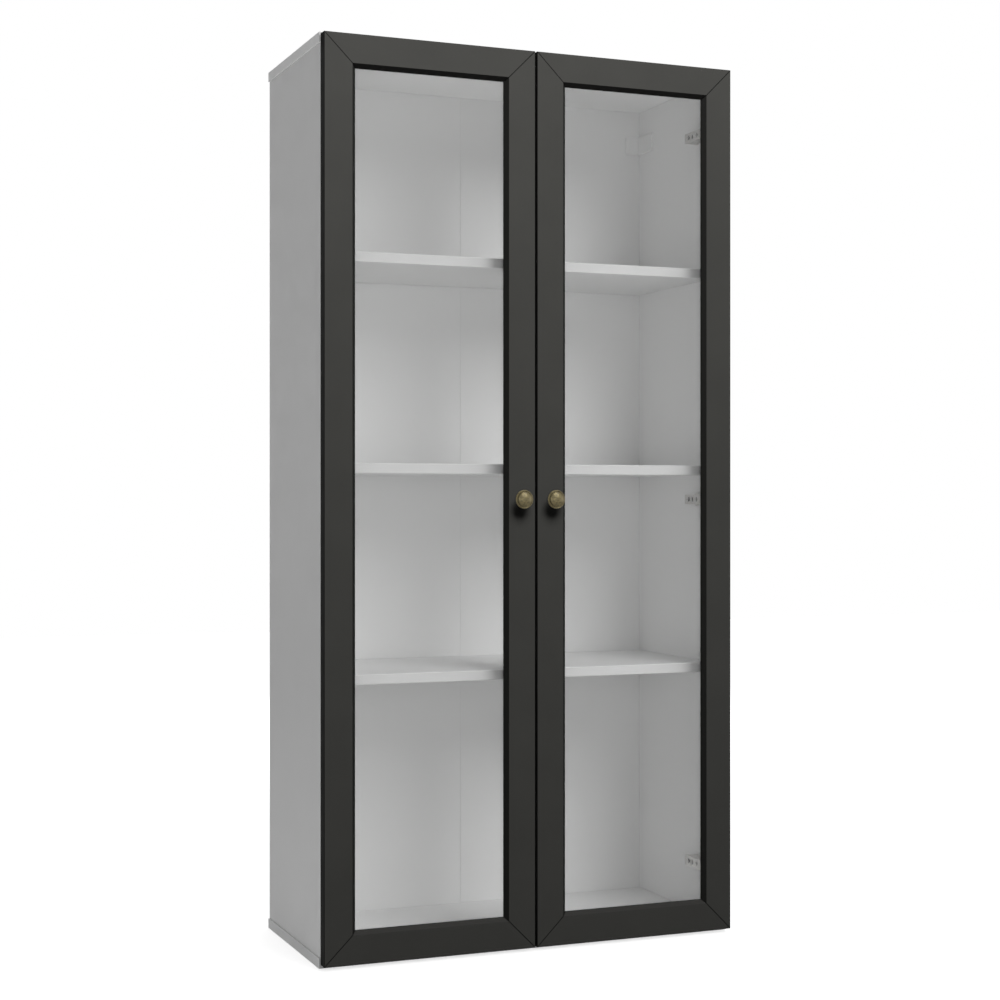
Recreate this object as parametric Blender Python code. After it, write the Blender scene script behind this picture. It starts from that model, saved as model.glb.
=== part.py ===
"""China cabinet with two framed glass doors on concealed four-bar cup hinges.

Metres, +Z up. The front faces -Y and the origin is the centre of the bottom panel's underside.
The hinges are drawn in their own plane: u runs inward from the cabinet's outer side face, v runs
forward from the front edge of the carcass, and z is measured from the middle of the hinge.
"""

import math

import bmesh
import bpy
from mathutils import Matrix, Vector

# Carcass
SIDE_SPAN = 0.800  # across the outer faces of the two sides
HEIGHT = 1.637
DEPTH = 0.340  # without the doors
BOARD = 0.018  # top, bottom and shelves
SIDE = 0.016
END_OVERHANG = 0.0025  # top and bottom panels past the sides
BOARD_EASE = 0.0005
BACK_THICKNESS = 0.004
BACK_SETBACK = 0.001  # back panel in from the rear edges
REBATE_WIDTH = 0.008
STRIP_WIDTH = 0.024  # joint strip between the two halves of the back
STRIP_FLANGE = 0.0007
STRIP_WEB = 0.0012

# Shelves and their pins
SHELF_PITCH = 0.3755
MIDDLE_SHELF_RISE = 0.06425  # its upper face above the middle hinges
SHELF_SETBACK = 0.023
SHELF_EASE = 0.0009
SHELF_PIN_SETBACK = 0.052  # from the front and rear edges of the sides
SHELF_PIN_RADIUS = 0.0025
SHELF_PIN_IN_SIDE = 0.008
SHELF_PIN_REACH = 0.008  # from the side's inner face
SHELF_PIN_COLLAR = 0.0036
SHELF_PIN_COLLAR_WIDTH = 0.0012

# Hanging brackets in the upper rear corners
BRACKET_FROM_TOP = 0.0875  # its middle below the top panel's upper face
BRACKET_HEIGHT = 0.037
BRACKET_ON_SIDE = 0.063
BRACKET_ON_BACK = 0.0325
BRACKET_THICKNESS = 0.004
BRACKET_CORNER = 0.0055
BRACKET_EASE = 0.0016

# Doors
DOOR_THICKNESS = 0.022
DOOR_STANDOFF = 0.002  # door to the carcass's front edge
DOOR_TOP_MARGIN = 0.0036
DOOR_BOTTOM_MARGIN = 0.0071
MEETING_GAP = 0.004
FACE_WIDTH = 0.0514
LIP_WIDTH = 0.0074
LIP_SLANT = 0.0088
GLASS_THICKNESS = 0.004
GLASS_FRONT = 0.0105  # behind the door's front face
GROOVE_DEPTH = 0.0078
GLASS_IN_GROOVE = 0.0068
REAR_LIP_SETBACK = 0.0053  # the groove's rear wall stands back from the front lip's edge
DOOR_EASE = 0.001
FIT = 0.0003  # gap between two pieces that touch

# Knobs, as radius and distance from the door's face
KNOB_FOOT_RADIUS = 0.0078
KNOB_FOOT_THICKNESS = 0.0022
KNOB_NECK_RADIUS = 0.0056
KNOB_NECK_START = 0.0045
KNOB_NECK_END = 0.0105
KNOB_BELL_RADIUS = 0.0106
KNOB_BELL_HEIGHT = 0.0150
KNOB_RIM_RADIUS = 0.01715
KNOB_RIM = 0.0205
KNOB_RIM_EASE = 0.0009
KNOB_DOME_RADIUS = 0.0134
KNOB_DOME_RISE = 0.0055
KNOB_GROOVE_WIDTH = 0.0005
KNOB_DOME_STEPS = 4
KNOB_SIDES = 24
SCREW_RADIUS = 0.002
SCREW_CLEARANCE = 0.0003
SCREW_HEAD_RADIUS = 0.004
SCREW_HEAD_THICKNESS = 0.0024
SCREW_HEAD_EASE = 0.0009
SCREW_IN_KNOB = 0.010

# Hinge: pivots and bends of the two links, as (u, v) with the door shut
HINGE_OFFSET = 0.700  # end hinges above and below the door's middle
ARM_PIVOT_INNER = (0.0330, -0.0078)
CUP_PIVOT_INNER = (0.0092, 0.0090)
INNER_BEND = (0.0190, 0.0115)
ARM_PIVOT_OUTER = (0.0335, -0.0019)
CUP_PIVOT_OUTER = (0.0102, 0.0049)
OUTER_BEND = (0.0140, 0.0080)
WEB_START = (0.0296, 0.0018)
WEB_END = (0.0316, 0.0009)
LINK_SLIDE = 0.00305  # how far the outer link slides on its cup pin
PIN_RADIUS = 0.00125
PIN_CLEARANCE = 0.0003
SLIDE_CLEARANCE = 0.00075  # each side of the cup pin in the outer link's slot
LINK_HALF = 0.0011
EYE_RADIUS = 0.0024
SLOT_WALL = 0.0008
WEB_RADIUS = 0.0010

# Hinge layers, as half widths in z
INNER_LINK = 0.0027
RIB_INSIDE = 0.0030
RIB_OUTSIDE = 0.0039
CHEEK_INSIDE = 0.0043
CHEEK_OUTSIDE = 0.0055
ARM_INSIDE = 0.0077
ARM_OUTSIDE = 0.0093

# Hinge arm and mounting plate
ARM_FACE = 0.0370
ARM_SHEET = 0.0013
ARM_REAR = -0.093
ARM_FRONT = -0.0115
ARM_NOSE_RADIUS = 0.0026
ARM_THROAT = (0.0265, -0.0260)  # where the cheek turns down to the plate
ARM_TOE = -0.030
ARM_HEEL = 0.003  # the cheek's rear edge leans forward by this at its foot
PLATE_THICKNESS = 0.0025
PLATE_TAIL = 0.001  # past the arm's rear end
PLATE_FRONT = -0.031
PLATE_DISC_RADIUS = 0.0122
PLATE_DISC_CENTRE = -0.0795
PLATE_DISC_SIDES = 16
PLATE_SCREW_LINE = -0.037
PLATE_SCREW_HALF = 0.016
PLATE_EAR_RADIUS = 0.0065
FIXING_SCREWS = ((-0.078, 0.0040), (-0.046, 0.0034))  # each place along the arm and radius
FIXING_HOLE_CLEARANCE = 0.0009
FIXING_SCREW_PROUD = 0.0004
ADJUSTING_SLOT = (-0.0640, -0.0590)
ADJUSTING_SLOT_HALF = 0.0042

# Hinge cup
CUP_CENTRE = 0.0208
CUP_RADIUS = 0.0175
CUP_WALL = 0.0009
CUP_REAR = 0.0140
CUP_FLOOR = 0.0131
CUP_FLANGE_RADIUS = 0.0186
CUP_FLANGE = 0.0008
CUP_SIDES = 20
WING_CENTRE = 0.0095  # from the cup's centre
WING_SCREW_HALF = 0.0225
WING_RADIUS = 0.0050
WING_HOLE = 0.0020
RIB_HALF = 0.0022

ROUND_SIDES = 10
SMALL_SIDES = 8
PIN_SIDES = 8

FRONT = -DEPTH / 2
REAR = DEPTH / 2
INNER_X = SIDE_SPAN / 2 - SIDE
BACK_INNER_FACE = REAR - BACK_SETBACK - BACK_THICKNESS
DOOR_REAR = FRONT - DOOR_STANDOFF
DOOR_FRONT = DOOR_REAR - DOOR_THICKNESS
DOOR_LOW = DOOR_BOTTOM_MARGIN
DOOR_HIGH = HEIGHT - DOOR_TOP_MARGIN
DOOR_MIDDLE = (DOOR_LOW + DOOR_HIGH) / 2
FRAME_WIDTH = FACE_WIDTH + LIP_WIDTH
MITRE_SHIFT = FIT / math.sqrt(2)  # along the member, so that the joint's gap is FIT
KNOB_CENTRE = MEETING_GAP / 2 + FRAME_WIDTH / 2
BRACKET_MIDDLE = HEIGHT - BRACKET_FROM_TOP
HINGE_HEIGHTS = {
    "lower": DOOR_MIDDLE - HINGE_OFFSET,
    "middle": DOOR_MIDDLE,
    "upper": DOOR_MIDDLE + HINGE_OFFSET,
}
SHELF_TOPS = {
    name: HINGE_HEIGHTS["middle"] + MIDDLE_SHELF_RISE + step * SHELF_PITCH
    for name, step in (("upper", 1), ("middle", 0), ("lower", -1))
}
LOOSE_SHELVES = ("upper", "lower")
SIDES = ("left", "right")


def outward(side):
    """The sign of X towards that side."""
    return -1.0 if side == "left" else 1.0


# Materials

def finish(name, colour, roughness, metallic=0.0, transmission=0.0):
    material = bpy.data.materials.new(name)
    material.use_nodes = True
    shader = material.node_tree.nodes["Principled BSDF"]
    shader.inputs["Base Color"].default_value = (*colour, 1.0)
    shader.inputs["Roughness"].default_value = roughness
    shader.inputs["Metallic"].default_value = metallic
    shader.inputs["Transmission Weight"].default_value = transmission
    material.diffuse_color = (*colour, 1.0)
    return material


def white_board(name):
    return finish(name, (0.78, 0.78, 0.77), 0.45)


def black_lacquer(name):
    return finish(name, (0.045, 0.044, 0.042), 0.38)


def clear_glass(name):
    return finish(name, (0.95, 0.97, 0.96), 0.02, transmission=1.0)


def aged_brass(name):
    return finish(name, (0.33, 0.27, 0.12), 0.42, metallic=1.0)


def nickel(name):
    return finish(name, (0.62, 0.61, 0.59), 0.28, metallic=1.0)


def white_plastic(name):
    return finish(name, (0.80, 0.80, 0.78), 0.5)


# Outlines

def circle(centre, radius, sides=ROUND_SIDES):
    turns = [2 * math.pi * step / sides for step in range(sides)]
    return [(centre[0] + radius * math.cos(a), centre[1] + radius * math.sin(a)) for a in turns]


def capsule(start, end, radius, sides=ROUND_SIDES):
    """Outline of a bar with round ends, from the circle at start to the circle at end."""
    heading = math.atan2(end[1] - start[1], end[0] - start[0])
    outline = []
    for centre, first in ((end, heading - math.pi / 2), (start, heading + math.pi / 2)):
        for step in range(sides // 2 + 1):
            angle = first + 2 * math.pi * step / sides
            outline.append((centre[0] + radius * math.cos(angle), centre[1] + radius * math.sin(angle)))
    return outline


def bar(start, end, half):
    """Outline of a straight bar with square ends, half wide to each side of its line."""
    along = (Vector(end) - Vector(start)).normalized() * half
    corners = []
    for point, turn in ((start, 1), (end, 1), (end, -1), (start, -1)):
        corners.append((point[0] - turn * along.y, point[1] + turn * along.x))
    return corners


def rectangle(low, high):
    return [(low[0], low[1]), (high[0], low[1]), (high[0], high[1]), (low[0], high[1])]


def rounded_end(low, high, radius, steps=3):
    """Rectangle whose two corners at the low end of the first axis are round."""
    outline = [(high[0], low[1]), (high[0], high[1])]
    for centre_b, first in ((high[1] - radius, math.pi / 2), (low[1] + radius, math.pi)):
        for step in range(steps + 1):
            angle = first + math.pi / 2 * step / steps
            outline.append((low[0] + radius + radius * math.cos(angle), centre_b + radius * math.sin(angle)))
    return outline


# Solids, each a bmesh

def prism(outline, axis, low, high):
    """The outline, in the other two axes, run along the axis from low to high."""
    return lofted([(outline, low), (outline, high)], axis)


def lofted(sections, axis):
    """Sections of as many points each, in the other two axes, joined along the axis."""
    along = "xyz".index(axis)
    first, second = (place for place in range(3) if place != along)
    solid = bmesh.new()
    rings = []
    for outline, level in sections:
        ring = []
        for a, b in outline:
            place = [0.0, 0.0, 0.0]
            place[first] = a
            place[second] = b
            place[along] = level
            ring.append(solid.verts.new(place))
        rings.append(ring)
    solid.faces.new(rings[0])
    solid.faces.new(rings[-1])
    for ring, other in zip(rings, rings[1:]):
        bridge(solid, ring, other)
    bmesh.ops.recalc_face_normals(solid, faces=solid.faces)
    return solid


def bridge(solid, ring, other):
    for index in range(len(ring)):
        after = (index + 1) % len(ring)
        solid.faces.new((ring[index], ring[after], other[after], other[index]))


def block(low, high, ease=0.0):
    solid = prism(rectangle(low[:2], high[:2]), "z", low[2], high[2])
    if ease:
        bmesh.ops.bevel(solid, geom=list(solid.edges), offset=ease, segments=1, affect="EDGES")
    return solid


def turned(profile, sides):
    """Solid of revolution about the Y axis from a profile of (radius, y) that starts and ends on it."""
    solid = bmesh.new()
    rings = []
    for radius, along in profile:
        if radius == 0:
            rings.append([solid.verts.new((0.0, along, 0.0))])
        else:
            rings.append([solid.verts.new((a, along, b)) for a, b in circle((0, 0), radius, sides)])
    for ring, other in zip(rings, rings[1:]):
        if len(ring) == len(other):
            bridge(solid, ring, other)
            continue
        tip, rim = (ring[0], other) if len(ring) == 1 else (other[0], ring)
        for index in range(sides):
            solid.faces.new((tip, rim[index], rim[(index + 1) % sides]))
    bmesh.ops.recalc_face_normals(solid, faces=solid.faces)
    return solid


def moved(solid, offset):
    bmesh.ops.translate(solid, verts=solid.verts, vec=Vector(offset))
    return solid


# Objects

def object_of(name, solid, material=None, smooth=False):
    """Turns a bmesh into an object of that name in the scene."""
    mesh = bpy.data.meshes.new(name)
    solid.to_mesh(mesh)
    solid.free()
    if smooth:
        mesh.shade_smooth()
        mesh.set_sharp_from_angle(angle=math.radians(32))
    if material:
        mesh.materials.append(material)
    obj = bpy.data.objects.new(name, mesh)
    bpy.context.scene.collection.objects.link(obj)
    return obj


def boolean(target, tool, operation):
    tool.hide_render = True
    tool.display_type = "WIRE"
    modifier = target.modifiers.new(tool.name, "BOOLEAN")
    modifier.operation = operation
    modifier.solver = "EXACT"
    modifier.object = tool


def cut(target, name, solid):
    boolean(target, object_of(name, solid), "DIFFERENCE")


def combined(name, solids, cuts=(), added=()):
    """One mesh: the solids fused, less the cuts, with the added solids fused last."""
    base = object_of(name, solids[0])
    helpers = [base]
    steps = [(solid, "UNION") for solid in solids[1:]]
    steps += [(solid, "DIFFERENCE") for solid in cuts]
    steps += [(solid, "UNION") for solid in added]
    for number, (solid, operation) in enumerate(steps):
        tool = object_of(f"{name}_tool_{number}", solid)
        helpers.append(tool)
        boolean(base, tool, operation)
    graph = bpy.context.evaluated_depsgraph_get()
    mesh = bpy.data.meshes.new_from_object(base.evaluated_get(graph))
    mesh.name = name
    for helper in helpers:
        bpy.data.objects.remove(helper)
    mesh.shade_smooth()
    mesh.set_sharp_from_angle(angle=math.radians(32))
    return mesh


def carry(obj, holder):
    """Parents obj to the holder and leaves it where it is."""
    obj.parent = holder
    obj.matrix_parent_inverse = Matrix.Translation(-holder.matrix_world.translation)


def empty(name, place):
    holder = bpy.data.objects.new(name, None)
    holder.location = place
    holder.matrix_world = Matrix.Translation(place)
    bpy.context.scene.collection.objects.link(holder)
    return holder


# Carcass

def make_panels():
    reach = SIDE_SPAN / 2 + END_OVERHANG
    rebate_x = INNER_X + REBATE_WIDTH
    for name, low, rebate_low in (
        ("top_panel", HEIGHT - BOARD, HEIGHT - BOARD - REBATE_WIDTH),
        ("bottom_panel", 0.0, BOARD - REBATE_WIDTH),
    ):
        panel = object_of(
            name,
            block((-reach, FRONT, low), (reach, REAR, low + BOARD), BOARD_EASE),
            white_board(name),
        )
        rebate = block(
            (-rebate_x, BACK_INNER_FACE, rebate_low),
            (rebate_x, REAR + BOARD, rebate_low + 2 * REBATE_WIDTH),
        )
        cut(panel, name + "_rebate", rebate)


def make_sides():
    low = BOARD + FIT
    high = HEIGHT - BOARD - FIT
    for name in SIDES:
        sign = outward(name)
        outer = sign * SIDE_SPAN / 2
        inner = sign * INNER_X
        step = sign * (INNER_X + REBATE_WIDTH)
        outline = [(outer, FRONT), (inner, FRONT), (inner, BACK_INNER_FACE)]
        outline += [(step, BACK_INNER_FACE), (step, REAR), (outer, REAR)]
        solid = prism(outline, "z", low, high)
        bmesh.ops.bevel(solid, geom=list(solid.edges), offset=BOARD_EASE, segments=1, affect="EDGES")
        side = object_of("side_" + name, solid, white_board("side_" + name))
        for shelf in LOOSE_SHELVES:
            for end, along in shelf_pin_places():
                centre = (along, shelf_pin_height(shelf))
                hole = prism(
                    circle(centre, SHELF_PIN_RADIUS + FIT, SMALL_SIDES),
                    "x",
                    *sorted((inner - sign * SIDE, inner + sign * (SHELF_PIN_IN_SIDE + FIT))),
                )
                cut(side, f"hole_{name}_{shelf}_{end}", hole)


def make_back():
    low = BOARD - REBATE_WIDTH + FIT
    high = HEIGHT - BOARD + REBATE_WIDTH - FIT
    outer = INNER_X + REBATE_WIDTH - FIT
    meeting = STRIP_WEB / 2 + FIT
    rear_face = BACK_INNER_FACE + BACK_THICKNESS
    front_face = BACK_INNER_FACE + FIT
    for name in SIDES:
        edges = sorted((outward(name) * outer, outward(name) * meeting))
        panel = block((edges[0], front_face, low), (edges[1], rear_face, high))
        object_of("back_panel_" + name, panel, white_board("back_panel_" + name))
    half = STRIP_WIDTH / 2
    web = STRIP_WEB / 2
    front = front_face - FIT
    rear = rear_face + FIT
    outline = [(-half, front - STRIP_FLANGE), (half, front - STRIP_FLANGE), (half, front), (web, front)]
    outline += [(web, rear), (half, rear), (half, rear + STRIP_FLANGE), (-half, rear + STRIP_FLANGE)]
    outline += [(-half, rear), (-web, rear), (-web, front), (-half, front)]
    strip = prism(outline, "z", BOARD + FIT, HEIGHT - BOARD - FIT)
    object_of("back_joint_strip", strip, white_plastic("back_joint_strip"))


def make_shelves():
    """A loose shelf has notches underneath, so that its pins lie flush with its underside."""
    half = INNER_X - FIT
    for name, top in SHELF_TOPS.items():
        slab = block(
            (-half, FRONT + SHELF_SETBACK, top - BOARD),
            (half, BACK_INNER_FACE - STRIP_FLANGE - FIT, top),
            SHELF_EASE,
        )
        shelf = object_of("shelf_" + name, slab, white_board("shelf_" + name))
        if name not in LOOSE_SHELVES:
            continue
        roof = shelf_pin_height(name) + SHELF_PIN_RADIUS + FIT
        reach = SHELF_PIN_COLLAR + FIT
        for side in SIDES:
            inner = outward(side) * (INNER_X - SHELF_PIN_REACH - FIT)
            outer = outward(side) * (INNER_X + SIDE)
            for end, along in shelf_pin_places():
                notch = block(
                    (min(inner, outer), along - reach, top - 2 * BOARD),
                    (max(inner, outer), along + reach, roof),
                )
                cut(shelf, f"notch_{name}_{side}_{end}", notch)


def shelf_pin_places():
    return (("front", FRONT + SHELF_PIN_SETBACK), ("rear", REAR - SHELF_PIN_SETBACK))


def shelf_pin_height(shelf):
    return SHELF_TOPS[shelf] - BOARD + SHELF_PIN_COLLAR


def make_shelf_pins():
    """Each pin's collar is cut flat on top, so that the shelf lies on the pin itself."""
    for side in SIDES:
        sign = outward(side)
        inner = sign * INNER_X
        for shelf in LOOSE_SHELVES:
            for end, along in shelf_pin_places():
                centre = (along, shelf_pin_height(shelf))
                name = f"shelf_pin_{shelf}_{side}_{end}"
                shaft = prism(
                    circle(centre, SHELF_PIN_RADIUS, SMALL_SIDES),
                    "x",
                    *sorted((inner + sign * SHELF_PIN_IN_SIDE, inner - sign * SHELF_PIN_REACH)),
                )
                near = inner - sign * FIT
                collar = prism(
                    circle(centre, SHELF_PIN_COLLAR, SMALL_SIDES),
                    "x",
                    *sorted((near, near - sign * SHELF_PIN_COLLAR_WIDTH)),
                )
                above = centre[1] + SHELF_PIN_RADIUS
                trim = block(
                    (inner - SIDE, along - SIDE, above),
                    (inner + SIDE, along + SIDE, above + SIDE),
                )
                mesh = combined(name, [shaft, collar], [trim])
                mesh.materials.append(nickel(name))
                pin = bpy.data.objects.new(name, mesh)
                bpy.context.scene.collection.objects.link(pin)


def eased_leg(reach, low, high):
    """Sections of a bracket's leg as (outline, height off its seat), from its free end at 0 to reach."""
    edge = rounded_end((0.0, low), (reach, high), BRACKET_CORNER)
    crown = rounded_end(
        (BRACKET_EASE, low + BRACKET_EASE), (reach, high - BRACKET_EASE), BRACKET_CORNER - BRACKET_EASE
    )
    return [(edge, 0.0), (edge, BRACKET_THICKNESS - BRACKET_EASE), (crown, BRACKET_THICKNESS)]


def make_brackets():
    """Moulded corner brackets: one leg on the side, one on the back, with rounded ends and eased edges."""
    low = BRACKET_MIDDLE - BRACKET_HEIGHT / 2
    high = BRACKET_MIDDLE + BRACKET_HEIGHT / 2
    back = BACK_INNER_FACE
    for side in SIDES:
        sign = outward(side)
        name = "hanging_bracket_" + side
        wall = sign * (INNER_X - FIT)
        on_side = []
        for outline, rise in eased_leg(BRACKET_ON_SIDE, low, high):
            on_side.append(([(back - BRACKET_ON_SIDE + a, b) for a, b in outline], wall - sign * rise))
        reach = BRACKET_ON_BACK - FIT
        on_back = []
        for outline, rise in eased_leg(reach, low, high):
            on_back.append(([(wall - sign * (reach - a), b) for a, b in outline], back - rise))
        mesh = combined(name, [lofted(on_side, "x"), lofted(on_back, "y")])
        mesh.materials.append(white_plastic(name))
        bracket = bpy.data.objects.new(name, mesh)
        bpy.context.scene.collection.objects.link(bracket)


# Doors

def frame_profile():
    """Section of a frame member as (distance in from the outer edge, depth from the front face)."""
    groove_front = GLASS_FRONT - FIT
    groove_rear = GLASS_FRONT + GLASS_THICKNESS + FIT
    groove_floor = FRAME_WIDTH - GROOVE_DEPTH
    profile = [(DOOR_EASE * (1 - math.sin(a)), DOOR_EASE * (1 - math.cos(a))) for a in eighths()]
    profile += [(FACE_WIDTH, 0.0), (FRAME_WIDTH, LIP_SLANT), (FRAME_WIDTH, groove_front)]
    rear_lip = FRAME_WIDTH - REAR_LIP_SETBACK
    profile += [(groove_floor, groove_front), (groove_floor, groove_rear), (rear_lip, groove_rear)]
    profile += [(rear_lip, DOOR_THICKNESS)]
    profile += [
        (DOOR_EASE * (1 - math.cos(a)), DOOR_THICKNESS - DOOR_EASE * (1 - math.sin(a))) for a in eighths()
    ]
    return profile


def eighths():
    """Three angles along a quarter turn, from a right angle down to zero."""
    return (math.pi / 2, math.pi / 4, 0.0)


def frame_member(side, low, high):
    """One mitred member of the frame between the corners low and high, each (x, z)."""
    ends = []
    for inset, depth in frame_profile():
        cut_back = inset + MITRE_SHIFT
        y = DOOR_FRONT + depth
        if side in ("west", "east"):
            x = low[0] + inset if side == "west" else high[0] - inset
            ends.append(((x, y, low[1] + cut_back), (x, y, high[1] - cut_back)))
        else:
            z = low[1] + inset if side == "bottom" else high[1] - inset
            ends.append(((low[0] + cut_back, y, z), (high[0] - cut_back, y, z)))
    solid = bmesh.new()
    rings = [[solid.verts.new(pair[end]) for pair in ends] for end in (0, 1)]
    for ring in rings:
        solid.faces.new(ring)
    bridge(solid, rings[0], rings[1])
    bmesh.ops.recalc_face_normals(solid, faces=solid.faces)
    return solid


def knob_profile():
    """Half section of the knob from the door outwards, as (radius, distance from the door's face)."""
    bore = SCREW_RADIUS + SCREW_CLEARANCE
    bore_end = FIT + SCREW_IN_KNOB + FIT
    ease = KNOB_RIM_EASE
    groove = KNOB_DOME_RADIUS + KNOB_GROOVE_WIDTH
    profile = [(0.0, bore_end), (bore, bore_end), (bore, FIT), (KNOB_FOOT_RADIUS, FIT)]
    profile += [(KNOB_FOOT_RADIUS, KNOB_FOOT_THICKNESS), (KNOB_NECK_RADIUS, KNOB_NECK_START)]
    profile += [(KNOB_NECK_RADIUS, KNOB_NECK_END), (KNOB_BELL_RADIUS, KNOB_BELL_HEIGHT)]
    profile += [(KNOB_RIM_RADIUS - 1.5 * ease, KNOB_RIM - 3 * ease), (KNOB_RIM_RADIUS, KNOB_RIM - ease)]
    profile += [(KNOB_RIM_RADIUS - ease, KNOB_RIM + ease), (groove + ease, KNOB_RIM + ease)]
    profile.append((groove, KNOB_RIM - ease))
    for step in range(KNOB_DOME_STEPS):
        angle = math.pi / 2 * step / KNOB_DOME_STEPS
        rise = KNOB_RIM + KNOB_DOME_RISE * math.sin(angle)
        profile.append((KNOB_DOME_RADIUS * math.cos(angle), rise))
    profile.append((0.0, KNOB_RIM + KNOB_DOME_RISE))
    return profile


def make_door(side, axle):
    """The right door has its hinges at +X, the left one at -X."""
    sign = outward(side)
    near = MEETING_GAP / 2
    far = SIDE_SPAN / 2
    low = (min(sign * near, sign * far), DOOR_LOW)
    high = (max(sign * near, sign * far), DOOR_HIGH)
    hinge_place, meeting_place = ("east", "west") if sign > 0 else ("west", "east")
    members = {}
    for part, place in (
        ("hinge_stile", hinge_place),
        ("meeting_stile", meeting_place),
        ("top_rail", "top"),
        ("bottom_rail", "bottom"),
    ):
        name = f"{side}_door_{part}"
        members[part] = object_of(name, frame_member(place, low, high), black_lacquer(name))
        carry(members[part], axle)
    for level, height in HINGE_HEIGHTS.items():
        centre = (sign * (SIDE_SPAN / 2 - CUP_CENTRE), height)
        front = DOOR_REAR - (CUP_REAR - DOOR_STANDOFF) - FIT
        pocket = prism(circle(centre, CUP_RADIUS + FIT, CUP_SIDES), "y", front, DOOR_REAR + DOOR_THICKNESS)
        cut(members["hinge_stile"], f"{side}_{level}_cup_pocket", pocket)

    inset = FRAME_WIDTH - GLASS_IN_GROOVE
    front = DOOR_FRONT + GLASS_FRONT
    pane = block(
        (low[0] + inset, front, low[1] + inset),
        (high[0] - inset, front + GLASS_THICKNESS, high[1] - inset),
    )
    name = f"{side}_door_glass"
    carry(object_of(name, pane, clear_glass(name)), axle)

    place = (sign * KNOB_CENTRE, DOOR_FRONT, DOOR_MIDDLE)
    forward = [(radius, -out) for radius, out in knob_profile()]
    name = f"{side}_door_knob"
    knob = object_of(name, turned(forward, KNOB_SIDES), aged_brass(name), smooth=True)
    knob.location = place
    carry(knob, axle)

    bore_centre = (place[0], place[2])
    bore = prism(
        circle(bore_centre, SCREW_RADIUS + SCREW_CLEARANCE),
        "y",
        DOOR_FRONT - DOOR_THICKNESS,
        DOOR_REAR + DOOR_THICKNESS,
    )
    cut(members["meeting_stile"], f"{side}_knob_bore", bore)
    seat = DOOR_THICKNESS + FIT
    head = seat + SCREW_HEAD_THICKNESS
    profile = [(0.0, -FIT - SCREW_IN_KNOB), (SCREW_RADIUS, -FIT - SCREW_IN_KNOB), (SCREW_RADIUS, seat)]
    profile += [(SCREW_HEAD_RADIUS, seat), (SCREW_HEAD_RADIUS, head - SCREW_HEAD_EASE)]
    profile += [(SCREW_HEAD_RADIUS - SCREW_HEAD_EASE, head), (0.0, head)]
    name = f"{side}_door_knob_screw"
    screw = object_of(name, turned(profile, ROUND_SIDES), nickel(name), smooth=True)
    screw.location = place
    carry(screw, axle)


# Hinges, drawn in u, v and z

def slot_ends():
    """Where the cup pin lies in the outer link's slot, with the door shut and at its innermost."""
    shut = Vector(CUP_PIVOT_OUTER)
    inward = (Vector(ARM_PIVOT_OUTER) - shut).normalized()
    return tuple(shut), tuple(shut + inward * LINK_SLIDE)


def inner_link_mesh():
    def layer(outline):
        return prism(outline, "z", -INNER_LINK, INNER_LINK)

    hole = PIN_RADIUS + PIN_CLEARANCE
    bars = [
        layer(bar(ARM_PIVOT_INNER, INNER_BEND, LINK_HALF)),
        layer(bar(INNER_BEND, CUP_PIVOT_INNER, LINK_HALF)),
        layer(circle(INNER_BEND, LINK_HALF, PIN_SIDES)),
        layer(circle(ARM_PIVOT_INNER, EYE_RADIUS)),
        layer(circle(CUP_PIVOT_INNER, EYE_RADIUS)),
    ]
    holes = [
        prism(circle(pivot, hole, SMALL_SIDES), "z", -ARM_OUTSIDE, ARM_OUTSIDE)
        for pivot in (ARM_PIVOT_INNER, CUP_PIVOT_INNER)
    ]
    return combined("inner_link", bars, holes)


def outer_link_mesh():
    def layer(outline):
        return prism(outline, "z", -CHEEK_OUTSIDE, CHEEK_OUTSIDE)

    slot_half = PIN_RADIUS + SLIDE_CLEARANCE
    bars = [
        layer(bar(ARM_PIVOT_OUTER, OUTER_BEND, LINK_HALF)),
        layer(bar(OUTER_BEND, CUP_PIVOT_OUTER, LINK_HALF)),
        layer(circle(OUTER_BEND, LINK_HALF, PIN_SIDES)),
        layer(circle(ARM_PIVOT_OUTER, EYE_RADIUS)),
        layer(capsule(*slot_ends(), slot_half + SLOT_WALL)),
    ]
    hole = circle(ARM_PIVOT_OUTER, PIN_RADIUS + PIN_CLEARANCE, SMALL_SIDES)
    cuts = [
        prism(hole, "z", -ARM_OUTSIDE, ARM_OUTSIDE),
        prism(capsule(*slot_ends(), slot_half), "z", -ARM_OUTSIDE, ARM_OUTSIDE),
        prism(rectangle((-ARM_FACE, -ARM_FACE), (2 * ARM_FACE, ARM_FACE)), "z", -CHEEK_INSIDE, CHEEK_INSIDE),
    ]
    web = layer(capsule(WEB_START, WEB_END, WEB_RADIUS, PIN_SIDES))
    return combined("outer_link", bars, cuts, [web])


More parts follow.
